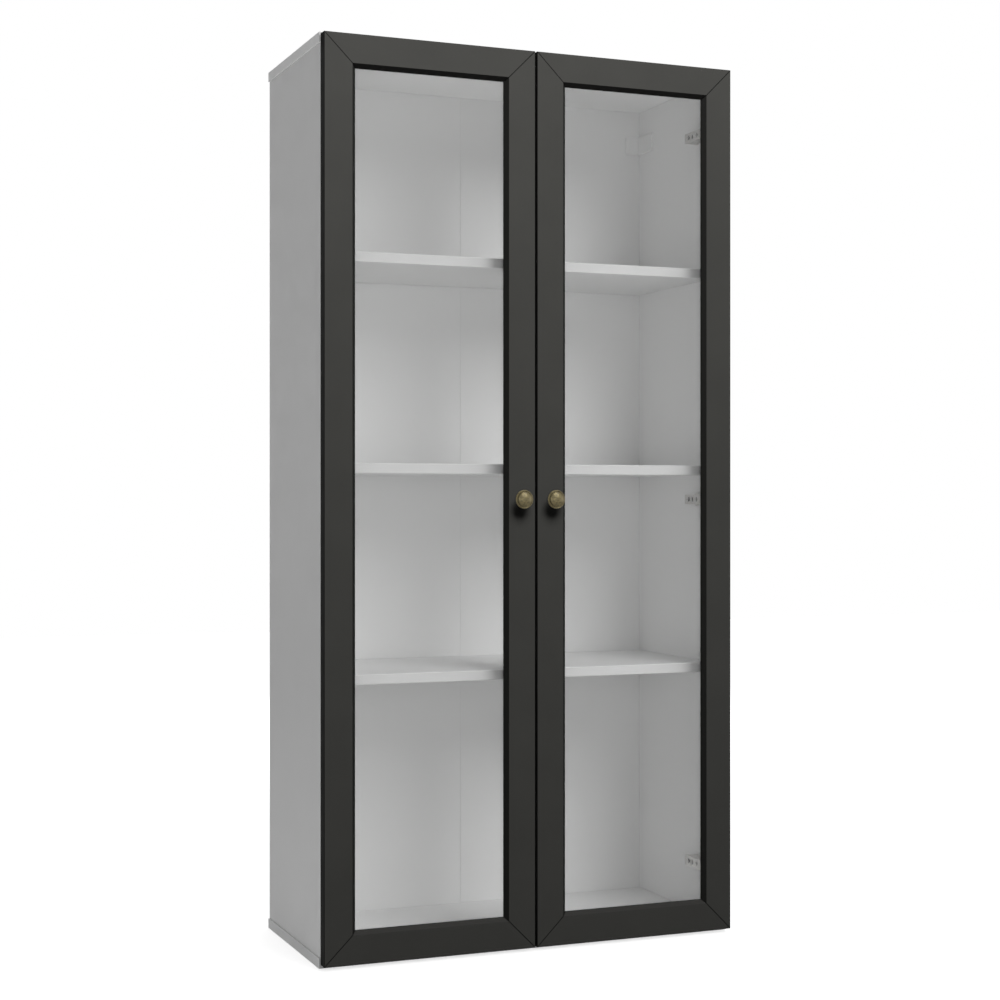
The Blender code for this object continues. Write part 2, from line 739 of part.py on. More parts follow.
def arm_mesh():
    foot = SIDE + FIT
    plate_face = foot + PLATE_THICKNESS
    plate_rear = ARM_REAR - PLATE_TAIL
    cheek = [(foot, ARM_REAR + ARM_HEEL), (ARM_FACE, ARM_REAR), (ARM_FACE, ARM_FRONT)]
    for step in range(ROUND_SIDES // 2 + 1):
        angle = 2 * math.pi * step / ROUND_SIDES
        across = ARM_PIVOT_OUTER[0] + ARM_NOSE_RADIUS * math.cos(angle)
        cheek.append((across, ARM_PIVOT_OUTER[1] + ARM_NOSE_RADIUS * math.sin(angle)))
    cheek += [(ARM_PIVOT_INNER[0] - ARM_NOSE_RADIUS, ARM_PIVOT_INNER[1]), ARM_THROAT, (foot, ARM_TOE)]
    screw_reach = ARM_FACE + FIXING_SCREW_PROUD
    face = rectangle((ARM_FACE - ARM_SHEET, ARM_REAR), (ARM_FACE, ARM_FRONT))
    solids = [prism(face, "z", -ARM_OUTSIDE, ARM_OUTSIDE)]
    for low, high in ((-ARM_OUTSIDE, -ARM_INSIDE), (ARM_INSIDE, ARM_OUTSIDE)):
        solids.append(prism(cheek, "z", low, high))
    solids.append(block((foot, plate_rear, -ARM_INSIDE - FIT), (plate_face, PLATE_FRONT, ARM_INSIDE + FIT)))
    disc = circle((PLATE_DISC_CENTRE, 0.0), PLATE_DISC_RADIUS, PLATE_DISC_SIDES)
    solids.append(prism(disc, "x", foot, plate_face))
    ear_low = (PLATE_SCREW_LINE, -PLATE_SCREW_HALF)
    ear_high = (PLATE_SCREW_LINE, PLATE_SCREW_HALF)
    solids.append(prism(capsule(ear_low, ear_high, PLATE_EAR_RADIUS), "x", foot, plate_face))
    openings = [
        circle((place, 0.0), radius + FIXING_HOLE_CLEARANCE) for place, radius in FIXING_SCREWS
    ]
    half = ADJUSTING_SLOT_HALF
    openings.append(rectangle((ADJUSTING_SLOT[0], -half), (ADJUSTING_SLOT[1], half)))
    cuts = [prism(opening, "x", ARM_FACE - 2 * ARM_SHEET, ARM_FACE + ARM_SHEET) for opening in openings]
    added = [
        prism(circle((place, 0.0), radius), "x", plate_face - FIT, screw_reach)
        for place, radius in FIXING_SCREWS
    ]
    pin = circle(ARM_PIVOT_INNER, PIN_RADIUS, PIN_SIDES)
    added.append(prism(pin, "z", -ARM_OUTSIDE - FIT, ARM_OUTSIDE + FIT))
    stub = circle(ARM_PIVOT_OUTER, PIN_RADIUS, PIN_SIDES)
    inside = CHEEK_INSIDE - FIT
    added.append(prism(stub, "z", -ARM_OUTSIDE - FIT, -inside))
    added.append(prism(stub, "z", inside, ARM_OUTSIDE + FIT))
    return combined("hinge_arm", solids, cuts, added)


def cup_mesh():
    """The bowl in the door, with the ribs that hold the inner link's pin and the outer link's stubs."""
    front = DOOR_STANDOFF - FIT
    inner = CUP_RADIUS - CUP_WALL
    profile = [(0.0, CUP_REAR), (CUP_RADIUS, CUP_REAR), (CUP_RADIUS, front)]
    profile += [(CUP_FLANGE_RADIUS, front), (CUP_FLANGE_RADIUS, front - CUP_FLANGE)]
    profile += [(inner, front - CUP_FLANGE), (inner, CUP_FLOOR), (0.0, CUP_FLOOR)]
    bowl = moved(turned(profile, CUP_SIDES), (CUP_CENTRE, 0.0, 0.0))
    screw_u = CUP_CENTRE + WING_CENTRE
    wing = capsule((screw_u, -WING_SCREW_HALF), (screw_u, WING_SCREW_HALF), WING_RADIUS)
    bore = circle((CUP_CENTRE, 0.0), inner, CUP_SIDES)
    plate = prism(wing, "y", front - CUP_FLANGE, front)
    hollow = prism(bore, "y", -CUP_REAR, CUP_FLOOR)
    holes = [
        prism(circle((screw_u, end), WING_HOLE, SMALL_SIDES), "y", -CUP_REAR, CUP_REAR)
        for end in (-WING_SCREW_HALF, WING_SCREW_HALF)
    ]
    added = []
    rib = rectangle(
        (CUP_PIVOT_INNER[0] - RIB_HALF, CUP_PIVOT_INNER[1]),
        (CUP_PIVOT_INNER[0] + RIB_HALF, CUP_FLOOR + CUP_WALL / 2),
    )
    for step in range(1, SMALL_SIDES // 2):
        angle = 2 * math.pi * step / SMALL_SIDES
        across = CUP_PIVOT_INNER[0] - RIB_HALF * math.cos(angle)
        rib.insert(step, (across, CUP_PIVOT_INNER[1] - RIB_HALF * math.sin(angle)))
    for low, high in ((-RIB_OUTSIDE, -RIB_INSIDE), (RIB_INSIDE, RIB_OUTSIDE)):
        added.append(prism(rib, "z", low, high))
    pin = circle(CUP_PIVOT_INNER, PIN_RADIUS, PIN_SIDES)
    added.append(prism(pin, "z", -RIB_OUTSIDE + FIT, RIB_OUTSIDE - FIT))
    farthest = CUP_CENTRE - CUP_PIVOT_OUTER[0] + PIN_RADIUS
    wall = math.sqrt((CUP_RADIUS - CUP_WALL / 2) ** 2 - farthest**2)
    stub = circle(CUP_PIVOT_OUTER, PIN_RADIUS, PIN_SIDES)
    inside = CHEEK_INSIDE - FIT
    added.append(prism(stub, "z", -wall, -inside))
    added.append(prism(stub, "z", inside, wall))
    return combined("hinge_cup", [bowl, plate], [hollow, *holes], added)


def in_cabinet(mesh, sign):
    """A copy of a hinge mesh turned from u, v, z into X, Y, Z for the side with that sign."""
    turned_mesh = mesh.copy()
    turned_mesh.transform(Matrix.Diagonal((-sign, -1.0, 1.0, 1.0)))
    if sign < 0:
        turned_mesh.flip_normals()
    return turned_mesh


def pivot(place, sign):
    """World X and Y of a hinge point given as (u, v)."""
    return (sign * (SIDE_SPAN / 2 - place[0]), FRONT - place[1], DOOR_MIDDLE)


def make_hinges(side, meshes, holders):
    sign = outward(side)
    for part, (mesh, holder) in {
        "hinge_arm": (meshes["hinge_arm"], None),
        "inner_link": (meshes["inner_link"], holders["inner"]),
        "outer_link": (meshes["outer_link"], holders["outer"]),
        "hinge_cup": (meshes["hinge_cup"], holders["door"]),
    }.items():
        shared = in_cabinet(mesh, sign)
        shared.materials.clear()
        shared.materials.append(nickel(f"{side}_{part}"))
        for level, height in HINGE_HEIGHTS.items():
            obj = bpy.data.objects.new(f"{side}_{level}_{part}", shared)
            bpy.context.scene.collection.objects.link(obj)
            obj.location = (sign * SIDE_SPAN / 2, FRONT, height)
            if holder:
                carry(obj, holder)


def make_cabinet():
    for obj in list(bpy.data.objects):
        bpy.data.objects.remove(obj)
    make_panels()
    make_sides()
    make_back()
    make_shelves()
    make_shelf_pins()
    make_brackets()
    meshes = {
        "hinge_arm": arm_mesh(),
        "inner_link": inner_link_mesh(),
        "outer_link": outer_link_mesh(),
        "hinge_cup": cup_mesh(),
    }
    for side in SIDES:
        sign = outward(side)
        holders = {
            "inner": empty(f"{side}_inner_link_axis", pivot(ARM_PIVOT_INNER, sign)),
            "outer": empty(f"{side}_outer_link_axis", pivot(ARM_PIVOT_OUTER, sign)),
            "door": empty(f"{side}_door_axis", pivot(CUP_PIVOT_INNER, sign)),
        }
        carry(holders["door"], holders["inner"])
        make_door(side, holders["door"])
        make_hinges(side, meshes, holders)


make_cabinet()
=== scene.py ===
"""Looks of a china cabinet: finishes, turned knobs, hinge screws and spindles, and the studio.

Metres, +Z up, the front faces -Y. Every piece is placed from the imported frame.
"""

import math

import bmesh
import bpy
from mathutils import Matrix, Vector, noise


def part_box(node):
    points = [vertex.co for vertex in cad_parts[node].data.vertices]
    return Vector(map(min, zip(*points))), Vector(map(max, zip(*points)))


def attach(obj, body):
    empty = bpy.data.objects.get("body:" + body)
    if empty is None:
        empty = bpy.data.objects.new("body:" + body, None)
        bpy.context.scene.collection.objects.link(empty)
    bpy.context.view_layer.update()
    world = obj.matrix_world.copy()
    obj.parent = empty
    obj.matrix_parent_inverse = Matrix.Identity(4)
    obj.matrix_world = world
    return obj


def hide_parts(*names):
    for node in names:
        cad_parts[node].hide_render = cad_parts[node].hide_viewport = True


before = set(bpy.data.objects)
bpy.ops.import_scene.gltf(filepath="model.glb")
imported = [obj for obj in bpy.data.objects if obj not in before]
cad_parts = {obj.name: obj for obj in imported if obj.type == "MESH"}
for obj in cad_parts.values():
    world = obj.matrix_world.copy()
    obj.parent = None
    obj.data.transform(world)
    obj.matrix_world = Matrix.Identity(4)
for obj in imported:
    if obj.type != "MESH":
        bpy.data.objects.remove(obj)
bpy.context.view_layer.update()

# Camera
CAMERA_PLACE = (-1.332, -3.317, 0.819)
CAMERA_TURN = 21.986  # degrees to the right of straight ahead
CAMERA_LENS = 67.34
CAMERA_SENSOR = 36.0

# Studio
WHITE = (1.0, 1.0, 1.0, 1.0)
AMBIENT = 0.20
BACKGROUND = 1.0
STUDIO_AIM = (0.0, -0.17, 0.82)
LAMPS = {
    "key": {"turn": 20.0, "height": 3.6, "distance": 4.5, "size": (3.0, 2.4), "power": 110.0},
    "over": {"turn": 10.0, "height": 5.0, "distance": 3.6, "size": (3.0, 2.4), "power": 16.0},
    "front": {"turn": 0.0, "height": 0.75, "distance": 3.4, "size": (3.4, 1.2), "power": 15.0},
    "left": {"turn": -32.0, "height": 0.9, "distance": 3.2, "size": (2.4, 1.2), "power": 5.2},
    "right": {"turn": 58.0, "height": 1.0, "distance": 3.0, "size": (1.6, 1.6), "power": 13.0},
    "ceiling": {"turn": -35.0, "height": 0.15, "distance": 1.8, "size": (1.0, 0.6), "power": 10.5},
    "rear": {"turn": 168.0, "height": 2.0, "distance": 4.0, "size": (3.0, 3.0), "power": 55.0},
    "sheen": {"turn": 3.0, "height": 3.5, "distance": 2.4, "size": (2.0, 1.6), "power": 710.0},
}  # turn in degrees to the right of the doors' normal, distance along the floor
NOT_DOORS = (("clear_glass", "black_frame"), "EXCLUDE")
LAMP_LINKS = {
    "key": NOT_DOORS,
    "over": NOT_DOORS,
    "front": NOT_DOORS,
    "left": NOT_DOORS,
    "right": NOT_DOORS,
    "ceiling": (("top_panel",), "INCLUDE"),
    "rear": (("clear_glass",), "EXCLUDE"),
    "sheen": (("black_frame",), "INCLUDE"),
}  # finishes or nodes: no lamp shows mirrored in a pane, and the frames get their light from above
FLOOR_HALF = 8.0
FLOOR_CELLS = 4
FLOOR_DROP = 0.0003
FLOOR_PALES = ((0.78, 0.78, 0.78), (0.80, 0.80, 0.80))
FLOOR_GLOW = (0.70, 0.90)  # near the cabinet and far from it
FLOOR_GLOW_REACH = (1.2, 3.5)
FLOOR_MIRRORED = 1.0

# Finishes: a pair of colours is clouded from one to the other
BOARD_WHITES = ((0.862, 0.863, 0.861), (0.874, 0.875, 0.872))
BOARD_FLECKS = (0.850, 0.851, 0.849)
# the banding's white: partly its own duller white, partly painted shade that dims the edges facing forward
# and back under the lamps
BANDING_SHADE_WHITE = (0.655, 0.656, 0.653)
BACK_WHITES = ((0.856, 0.857, 0.855), (0.866, 0.867, 0.865))
BACK_LINES = (0.846, 0.847, 0.846)
FRAME_BLACKS = ((0.0113, 0.0112, 0.0104), (0.0123, 0.0122, 0.0113))
FRAME_GRAIN = (0.0152, 0.0151, 0.0140)
# painted shade: the frames' edges and lips darker by the way they face, upper and lower ones less, left and
# right ones most
FRAME_LEVEL_SHADE = (0.0082, 0.0081, 0.0076)  # upper and lower edges and lips
FRAME_SIDE_SHADE = (0.0040, 0.0040, 0.0037)  # left and right edges and lips
# painted shade along the mitre joints, for the shadow in their eased edges
MITRE_SHADE_BLACK = (0.0015, 0.0015, 0.0014)
MITRE_SHADE_LINE = (0.0007, 0.0014)  # dark up to the first, gone from the second, either way from the joint
GLASS_CLEARS = ((0.984, 0.985, 0.984), (0.992, 0.993, 0.992))
GLASS_PASSED = (0.965, 0.966, 0.965, 1.0)  # what a pane lets through of lamps and scattered light
GLASS_IOR = 1.5
BRASS_TONES = ((0.052, 0.040, 0.013), (0.138, 0.110, 0.042))
BRASS_STAINS = (0.026, 0.020, 0.008)
NICKEL_TONES = ((0.54, 0.53, 0.51), (0.66, 0.65, 0.63))
# painted dark reflection on nickel faces that look forward
NICKEL_FORWARD_SHADE = (0.10, 0.098, 0.094)
NICKEL_SHADE_NORMALS = (-0.9, -0.6)  # forward part of a normal: painted dark reflection up to the first, plated from the second
# dark steel of the spindles, also painted shade on screw flanks and recesses
DARK_STEEL_AND_SHADE_TONES = ((0.020, 0.020, 0.019), (0.055, 0.054, 0.052))
PLASTIC_WHITES = ((0.848, 0.849, 0.846), (0.862, 0.863, 0.860))
FINISH_WORDS = (
    (("back_panel",), "white_back"),
    (("joint_strip", "bracket"), "white_plastic"),
    (("glass",), "clear_glass"),
    (("knob_screw", "hinge_arm", "link", "hinge_cup", "shelf_pin"), "nickel_steel"),
    (("knob",), "aged_brass"),
    (("stile", "rail"), "black_frame"),
)  # a node takes the first finish with a word in its name, and white board where none has

# Sockets of a Mix node in colour mode, whose names aren't unique
MIX_COLOURS = (6, 7)
MIX_RESULT = 2

# Meshes
ON_AXIS = 1e-7  # a smaller radius is one point on the axis
SMOOTH_ANGLE = 35.0
KNOB_SMOOTH_ANGLE = 50.0
SPINDLE_SMOOTH_ANGLE = 20.0

# Knob's half section, with heights from a zero just behind the door's face and arcs as arc takes them
KNOB_SEGMENTS = 96
KNOB_START = 0.0003  # from that zero to the door's face
FOOT_RADIUS = 0.0074
FOOT_BEAD = ((0.0074, 0.0008), 0.0005, -60, 60, 4)
NECK_HOLLOW = ((0.0080, 0.0054), 0.0026, 235, 180, 5)
NECK_END = (0.0054, 0.0092)
NECK_FLARE = ((0.0096, 0.0096), 0.0042, 172, 112, 6)
RIM_BELOW_TOP = 0.0055
RIM_BACK = (-0.0034, -0.0044)  # this and the next two from the rim
RIM_ROLL = ((-0.00155, -0.00135), 0.00155, -62, 118, 14)
RIM_GROOVE = ((-0.00305, 0.00010), 0.00055, 20, -160, 6)
CAP_INSET = 0.0036
CAP_LIFT = 0.0017  # the cap's edge over the rim
CAP_SHOULDER = 0.0009
CAP_SHOULDER_END = 62
CAP_SHOULDER_STEPS = 6
DOME_STEPS = 12

# Hammer marks
HAMMER_DEPTH = 0.00007
HAMMER_SIZE = 0.0022
HAMMER_LIFT = 0.010  # dents push along the axis well inside this radius, and sideways outside it
HAMMER_SEED = 7.0  # of the first knob, one more for the next

# Screws: the flank is the upright share of the rise
SCREW_SIDES = 28
SCREW_DOME_STEPS = 5
PLATE_SCREW = {"radius": 0.0038, "rise": 0.0016, "cross": 0.0024, "flank": 0.225}
WING_SCREW = {"radius": 0.0036, "rise": 0.0013, "cross": 0.0022, "flank": 0.225}
ARM_SCREWS = (
    {"radius": 0.0043, "rise": 0.0023, "cross": 0.0025, "flank": 0.75},
    {"radius": 0.0036, "rise": 0.0014, "cross": 0.0022, "flank": 0.5},
)  # the rear one and the front one
RECESS_HALF = 0.16  # half width of the cross's arms, as a share of their reach
RECESS_ENDS = ((0.35, 0.55, 0.7), (1.6, 1.0, 1.0))  # shares of rise, reach and half width, bottom and top
SUNK_UNDER = 0.6  # faces inside the cross under this share of the rise are the recess's
UPRIGHT = 0.5  # a face whose normal rises less than this is a flank or a recess wall
PLATED, DARK = 0, 1  # material indices of a screw

# Places on the hinges, as in the CAD: inward from the carcass's outer side face, forward from the rear
CARCASS_SIDE = 0.400
PLATE_FACE = 0.0188
PLATE_SCREW_FORWARD = 0.057
PLATE_SCREW_PLACES = ((-0.016, 22.6), (0.016, 51.4))  # up from the arm's middle, the cross's turn in degrees
ARM_SCREW_PLACES = ((0.016, 0.0), (0.048, 25.0))  # forward, the cross's turn in degrees
WING_FROM_SIDE = 0.0303
WING_SCREW_PLACES = ((-0.0225, 4.25), (0.0225, 35.75))  # as for the plate
ADJUSTER_ENDS = (0.0199, 0.0447)  # forward, from post to post inside the arm
ADJUSTER_DEPTH = 0.0058  # its axis below the arm's face
ADJUSTER_RADIUS = 0.0044
THREAD_DEPTH = 0.0005
THREAD_PITCH = 0.0012

SIDES = {"left": -1, "right": 1}
LEVELS = ("lower", "middle", "upper")


# Node materials

def math_node(tree, operation, *values):
    """Result of a Math node on values that are numbers or outputs."""
    made = tree.nodes.new("ShaderNodeMath")
    made.operation = operation
    for value, socket in zip(values, made.inputs):
        if isinstance(value, float):
            socket.default_value = value
        else:
            tree.links.new(value, socket)
    return made.outputs[0]


def mixed(tree, share, first, second):
    """Shader between the first, at share 0, and the second."""
    made = tree.nodes.new("ShaderNodeMixShader")
    for output, socket in zip((share, first, second), made.inputs):
        tree.links.new(output, socket)
    return made.outputs[0]


class Recipe:
    """A Principled material under construction, patterned in the object's own metres."""

    def __init__(self, name, roughness=0.5, metallic=0.0, specular=0.5):
        self.material = bpy.data.materials.new(name)
        self.material.use_nodes = True
        self.tree = self.material.node_tree
        self.shader = self.tree.nodes["Principled BSDF"]
        self.fix("Roughness", roughness)
        self.fix("Metallic", metallic)
        self.fix("Specular IOR Level", specular)
        places = self.tree.nodes.new("ShaderNodeTexCoord")
        self.place = places.outputs["Object"]
        self.normal = places.outputs["Normal"]

    def fix(self, socket, value):
        """One value all over the surface, on the shader's own socket."""
        self.shader.inputs[socket].default_value = value

    def node(self, kind, **settings):
        made = self.tree.nodes.new(kind)
        for name, value in settings.items():
            setattr(made, name, value)
        return made

    def join(self, output, socket):
        self.tree.links.new(output, socket)

    def math(self, operation, *values):
        return math_node(self.tree, operation, *values)

    def parts(self, vector):
        """The outputs X, Y and Z of a vector."""
        made = self.node("ShaderNodeSeparateXYZ")
        self.join(vector, made.inputs[0])
        return made.outputs

    def stretched(self, scale):
        mapping = self.node("ShaderNodeMapping")
        mapping.inputs["Scale"].default_value = scale
        self.join(self.place, mapping.inputs["Vector"])
        return mapping.outputs["Vector"]

    def speckle(self, size, detail=2.0, rough=0.5, place=None):
        """Noise from 0 to 1 whose patches are about size across."""
        made = self.node("ShaderNodeTexNoise")
        made.inputs["Scale"].default_value = 1.0 / size
        made.inputs["Detail"].default_value = detail
        made.inputs["Roughness"].default_value = rough
        self.join(place or self.place, made.inputs["Vector"])
        return made.outputs["Fac"]

    def ranged(self, value, low=0.0, high=1.0, start=0.3, end=0.7):
        """A value taken from start and end to low and high, and held there beyond them."""
        made = self.node("ShaderNodeMapRange")
        made.inputs["From Min"].default_value = start
        made.inputs["From Max"].default_value = end
        made.inputs["To Min"].default_value = low
        made.inputs["To Max"].default_value = high
        self.join(value, made.inputs["Value"])
        return made.outputs["Result"]

    def blend(self, share, first, second):
        """Colour between first and second, each a colour triple or an output."""
        made = self.node("ShaderNodeMix", data_type="RGBA")
        self.join(share, made.inputs["Factor"])
        for colour, number in zip((first, second), MIX_COLOURS):
            if isinstance(colour, tuple):
                made.inputs[number].default_value = (*colour, 1.0)
            else:
                self.join(colour, made.inputs[number])
        return made.outputs[MIX_RESULT]

    def facing(self, axis, start, end):
        """1 on faces whose normal has more than end along the axis, either way, and 0 under start."""
        size = self.math("ABSOLUTE", self.parts(self.normal)[axis])
        return self.ranged(size, start=start, end=end)

    def colour(self, output):
        self.join(output, self.shader.inputs["Base Color"])

    def roughness(self, output):
        self.join(output, self.shader.inputs["Roughness"])

    def bump(self, height, distance, strength=1.0, after=None):
        """Relief on the shader, over the relief of an earlier bump where that is given."""
        made = self.node("ShaderNodeBump")
        made.inputs["Strength"].default_value = strength
        made.inputs["Distance"].default_value = distance
        self.join(height, made.inputs["Height"])
        if after:
            self.join(after, made.inputs["Normal"])
        self.join(made.outputs["Normal"], self.shader.inputs["Normal"])
        return made.outputs["Normal"]

    def surface(self, output):
        """A shader that takes the Principled one's place on the surface."""
        self.join(output, self.tree.nodes["Material Output"].inputs["Surface"])


def white_board():
    """Melamine-faced board: satin white with a pebbled press texture, its banding in front and behind
    darker, partly its own duller white and partly painted shade.
    """
    recipe = Recipe("white_board", specular=0.25)
    base = recipe.blend(recipe.ranged(recipe.speckle(0.16, 3.0)), *BOARD_WHITES)
    flecks = recipe.ranged(recipe.speckle(0.0012, 2.0, 0.6), start=0.58, end=0.76)
    faces = recipe.blend(flecks, base, BOARD_FLECKS)
    # painted shade, partly the banding's own duller white, on faces that look forward and back
    recipe.colour(recipe.blend(recipe.facing("Y", 0.90, 0.97), faces, BANDING_SHADE_WHITE))
    recipe.roughness(recipe.ranged(recipe.speckle(0.03, 3.0), 0.44, 0.54))
    recipe.bump(recipe.speckle(0.0035, 1.0), 0.00003, 0.3)
    return recipe.material


def white_back():
    """Lacquered fibreboard: smoother and a little duller than the boards, with faint roller lines."""
    recipe = Recipe("white_back", specular=0.2)
    rolled = recipe.stretched((1.0, 1.0, 0.05))
    lines = recipe.ranged(recipe.speckle(0.006, 2.0, 0.5, rolled))
    base = recipe.blend(recipe.ranged(recipe.speckle(0.22)), *BACK_WHITES)
    recipe.colour(recipe.blend(recipe.ranged(lines, 0.0, 0.35, 0.0, 1.0), base, BACK_LINES))
    recipe.roughness(recipe.ranged(recipe.speckle(0.02), 0.50, 0.60))
    recipe.bump(recipe.speckle(0.0040, 1.0), 0.00003, 0.25)
    return recipe.material


def black_frame():
    """Satin near-black foil, finely grained, with painted shade on lips and edges and in the mitres."""
    recipe = Recipe("black_frame", specular=0.01)
    base = recipe.blend(recipe.ranged(recipe.speckle(0.09, 3.0)), *FRAME_BLACKS)
    grain = recipe.ranged(recipe.speckle(0.0009, 2.0, 0.7), start=0.55, end=0.75)
    foil = recipe.blend(grain, base, FRAME_GRAIN)
    # painted shade on faces that look up or down, darker still on those that look sideways
    foil = recipe.blend(recipe.facing("Z", 0.15, 0.30), foil, FRAME_LEVEL_SHADE)
    foil = recipe.blend(recipe.facing("X", 0.15, 0.30), foil, FRAME_SIDE_SHADE)
    # painted shade along the mitres
    recipe.colour(recipe.blend(mitre_shade_share(recipe), foil, MITRE_SHADE_BLACK))
    recipe.roughness(recipe.ranged(recipe.speckle(0.025, 3.0), 0.50, 0.56))
    fine = recipe.bump(recipe.speckle(0.0008, 2.0, 0.6), 0.00004, 0.5)
    recipe.bump(recipe.speckle(0.010, 1.0), 0.00006, 0.2, fine)
    return recipe.material


def mitre_shade_share(recipe):
    """1 along the mitre joints, where shade is painted, the same in every corner of both doors, and 0
    elsewhere.
    """
    low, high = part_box("right_door_hinge_stile")
    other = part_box("right_door_meeting_stile")[0]
    middle_x = (other.x + high.x) / 2
    middle_z = (low.z + high.z) / 2
    offset = (high.z - low.z) / 2 - (high.x - other.x) / 2

    def folded(coordinate, middle):
        """The distance of a coordinate from a middle."""
        return recipe.math("ABSOLUTE", recipe.math("SUBTRACT", coordinate, middle))

    across = recipe.parts(recipe.place)
    sideways = folded(folded(across["X"], 0.0), middle_x)
    upwards = folded(across["Z"], middle_z)
    between = recipe.math("SUBTRACT", upwards, sideways)
    return recipe.ranged(folded(between, offset), 1.0, 0.0, *MITRE_SHADE_LINE)


def clear_glass():
    """Float glass. Lamps and scattered light pass it unbent, so that the inside is lit through it."""
    recipe = Recipe("clear_glass", roughness=0.015)
    recipe.fix("Transmission Weight", 1.0)
    recipe.fix("IOR", GLASS_IOR)
    recipe.colour(recipe.blend(recipe.ranged(recipe.speckle(0.25)), *GLASS_CLEARS))
    rays = recipe.node("ShaderNodeLightPath").outputs
    either = recipe.math("MAXIMUM", rays["Is Shadow Ray"], rays["Is Diffuse Ray"])
    clear = recipe.node("ShaderNodeBsdfTransparent")
    clear.inputs["Color"].default_value = GLASS_PASSED
    recipe.surface(mixed(recipe.tree, either, recipe.shader.outputs[0], clear.outputs[0]))
    return recipe.material


def aged_brass():
    """Antique brass: rubbed golden high spots over a brown patina."""
    recipe = Recipe("aged_brass", metallic=0.85)
    recipe.fix("Coat Weight", 0.5)
    recipe.fix("Coat Roughness", 0.30)
    mottle = recipe.ranged(recipe.speckle(0.0026, 3.0, 0.6), start=0.36, end=0.66)
    base = recipe.blend(mottle, *BRASS_TONES)
    stains = recipe.ranged(recipe.speckle(0.0011, 2.0, 0.6), 0.0, 0.55, 0.52, 0.70)
    recipe.colour(recipe.blend(stains, base, BRASS_STAINS))
    recipe.roughness(recipe.ranged(recipe.speckle(0.0018), 0.28, 0.42))
    recipe.bump(recipe.speckle(0.0015), 0.00012, 0.6)
    return recipe.material


def nickel():
    """Nickel-plated stamped steel with a faint drawn grain, and a painted dark reflection on faces that look
    forward.
    """
    recipe = Recipe("nickel_steel", metallic=1.0)
    drawn = recipe.stretched((1.0, 0.12, 1.0))
    plated = recipe.blend(recipe.ranged(recipe.speckle(0.0006, 2.0, 0.6, drawn)), *NICKEL_TONES)
    # painted dark reflection on faces that look forward
    forward = recipe.ranged(recipe.parts(recipe.normal)["Y"], 1.0, 0.0, *NICKEL_SHADE_NORMALS)
    recipe.colour(recipe.blend(forward, plated, NICKEL_FORWARD_SHADE))
    recipe.roughness(recipe.ranged(recipe.speckle(0.003), 0.26, 0.40))
    recipe.bump(recipe.speckle(0.0005, 2.0, 0.5, drawn), 0.00002, 0.5)
    return recipe.material


def dark_steel_and_shade():
    """Dull, uneven dark steel of the spindles' threads, also painted shade on the recesses and upright
    flanks of screw heads.
    """
    recipe = Recipe("dark_steel_and_shade", metallic=0.8)
    recipe.colour(recipe.blend(recipe.ranged(recipe.speckle(0.0008, 2.0, 0.6)), *DARK_STEEL_AND_SHADE_TONES))
    recipe.roughness(recipe.ranged(recipe.speckle(0.0012), 0.50, 0.66))
    recipe.bump(recipe.speckle(0.0005), 0.00003, 0.5)
    return recipe.material


def white_plastic():
    """Moulded plastic with a fine spark-eroded texture."""
    recipe = Recipe("white_plastic", specular=0.3)
    recipe.colour(recipe.blend(recipe.ranged(recipe.speckle(0.02)), *PLASTIC_WHITES))
    recipe.roughness(recipe.ranged(recipe.speckle(0.004), 0.42, 0.54))
    recipe.bump(recipe.speckle(0.0006), 0.00004, 0.5)
    return recipe.material


FINISHES = {
    "white_board": white_board(),
    "white_back": white_back(),
    "black_frame": black_frame(),
    "clear_glass": clear_glass(),
    "aged_brass": aged_brass(),
    "nickel_steel": nickel(),
    "dark_steel_and_shade": dark_steel_and_shade(),
    "white_plastic": white_plastic(),
}


def finish_name(node):
    for words, name in FINISH_WORDS:
        if any(word in node for word in words):
            return name
    return "white_board"


def dress_frame():
    for name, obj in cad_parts.items():
        obj.data.materials.clear()
        obj.data.materials.append(FINISHES[finish_name(name)])


# Mesh pieces

def object_of(name, solid, finish, smooth_angle=SMOOTH_ANGLE):
    """An object of a solid, smooth over edges that turn less than the angle in degrees."""
    mesh = bpy.data.meshes.new(name)
    bmesh.ops.recalc_face_normals(solid, faces=solid.faces)
    solid.to_mesh(mesh)
    solid.free()
    mesh.shade_smooth()
    mesh.set_sharp_from_angle(angle=math.radians(smooth_angle))
    mesh.materials.append(FINISHES[finish])
    obj = bpy.data.objects.new(name, mesh)
    bpy.context.scene.collection.objects.link(obj)
    return obj


def arc(centre, radius, start, end, steps):
    """Points of an arc between two angles in degrees."""
    points = []
    for step in range(steps + 1):
        angle = math.radians(start + (end - start) * step / steps)
        points.append((centre[0] + radius * math.cos(angle), centre[1] + radius * math.sin(angle)))
    return points


def turned(profile, sides):
    """Solid of revolution about +Z from (radius, height) points that start and end on the axis."""
    solid = bmesh.new()
    rings = []
    for radius, height in profile:
        if radius < ON_AXIS:
            rings.append([solid.verts.new((0.0, 0.0, height))])
            continue
        ring = []
        for step in range(sides):
            angle = 2 * math.pi * step / sides
            ring.append(solid.verts.new((radius * math.cos(angle), radius * math.sin(angle), height)))
        rings.append(ring)
    for ring, other in zip(rings, rings[1:]):
        for step in range(sides):
            after = (step + 1) % sides
            if len(ring) == 1:
                solid.faces.new((ring[0], other[after], other[step]))
            elif len(other) == 1:
                solid.faces.new((ring[step], ring[after], other[0]))
            else:
                solid.faces.new((ring[step], ring[after], other[after], other[step]))
    return solid


